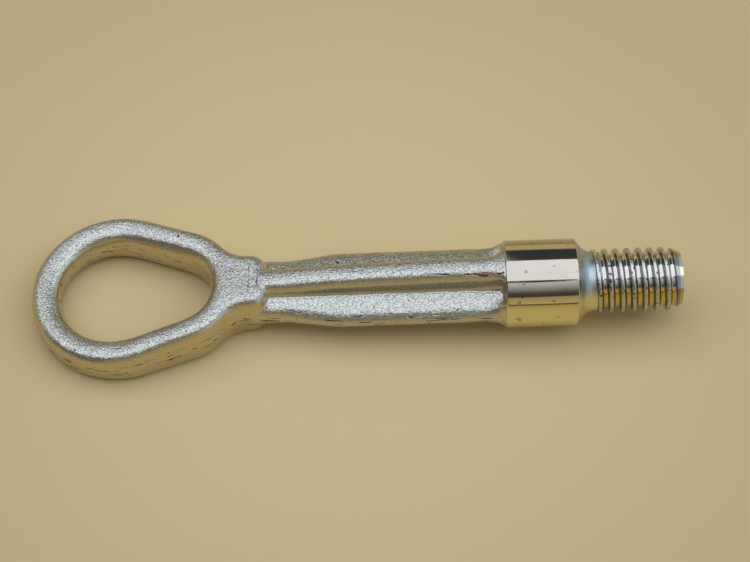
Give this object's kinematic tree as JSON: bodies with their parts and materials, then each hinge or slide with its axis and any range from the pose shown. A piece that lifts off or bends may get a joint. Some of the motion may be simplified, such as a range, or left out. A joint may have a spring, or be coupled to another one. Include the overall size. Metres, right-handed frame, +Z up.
{
  "type": "tow eye",
  "caption": "Forged tow eye: closed teardrop loop, four-ribbed shank, turned collar and coarse round thread that screws into a vehicle's towing socket.",
  "frame": {"origin": "centre of the part's box on the surface that it lies on", "axes": "+X from the eye to the thread, +Z up from the surface, +Y across the eye"},
  "size_m": [0.1839, 0.049, 0.0259],
  "materials": {
    "zinc_plated_steel": "zinc plated with a faint yellow passivate, grainy satin on the forged faces and bright on the turned collar and thread"
  },
  "bodies": {
    "root": {"tow_eye": "zinc_plated_steel"}
  },
  "joints": []
}
